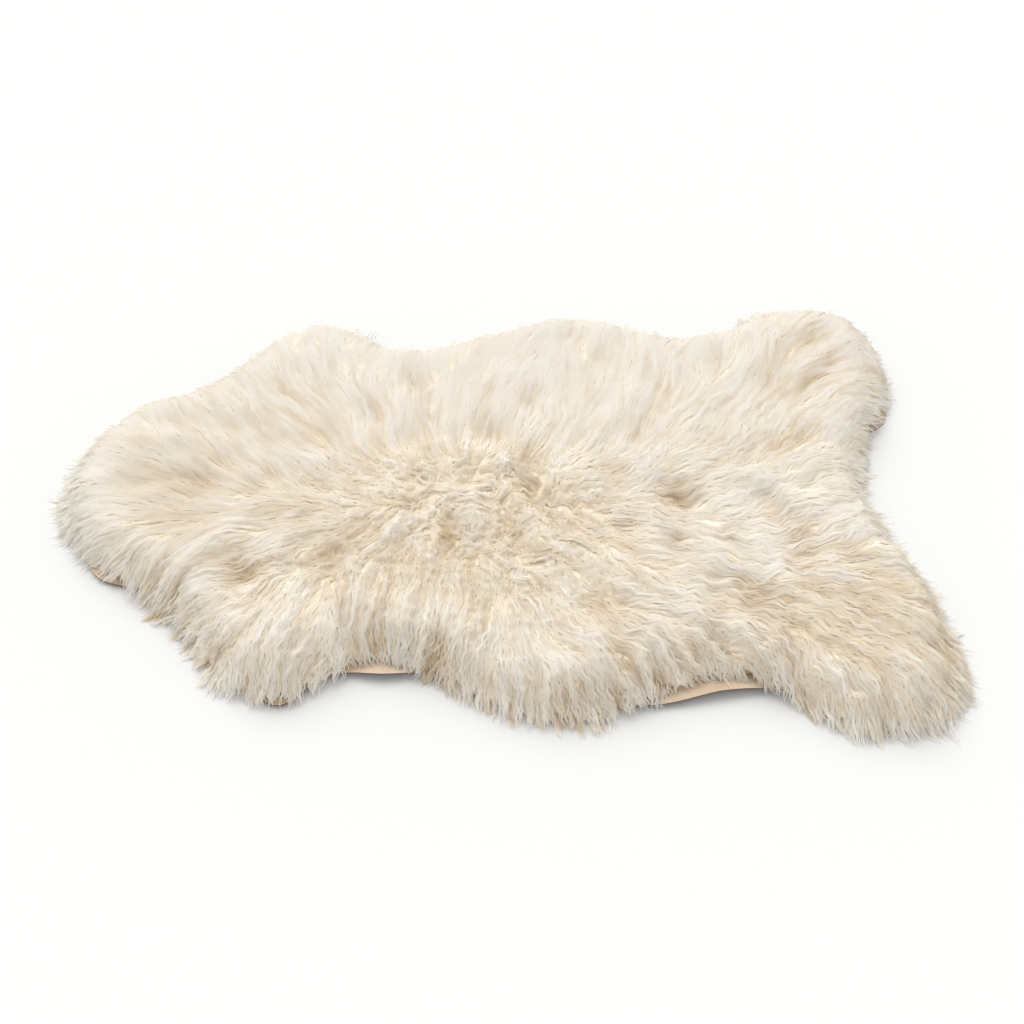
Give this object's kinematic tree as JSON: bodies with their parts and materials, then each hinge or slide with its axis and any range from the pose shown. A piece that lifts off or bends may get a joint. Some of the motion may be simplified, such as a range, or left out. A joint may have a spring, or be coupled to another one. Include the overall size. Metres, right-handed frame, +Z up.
{
  "type": "sheepskin rug",
  "caption": "Single sheepskin rug in the outline of the whole pelt: a thin tanned hide under deep wavy cream wool that rests on the floor in locks round its edge.",
  "frame": {"origin": "on the floor, under the middle of the rug's box", "axes": "+X from the neck to the tail, +Y to the animal's right side, +Z up out of the wool"},
  "size_m": [1.0118, 0.6738, 0.0655],
  "materials": {
    "wool": "long natural cream sheep's wool, soft sheen",
    "leather": "tanned flesh side, matt suede"
  },
  "bodies": {
    "root": {"fleece": "wool", "hide": "leather"}
  },
  "joints": []
}
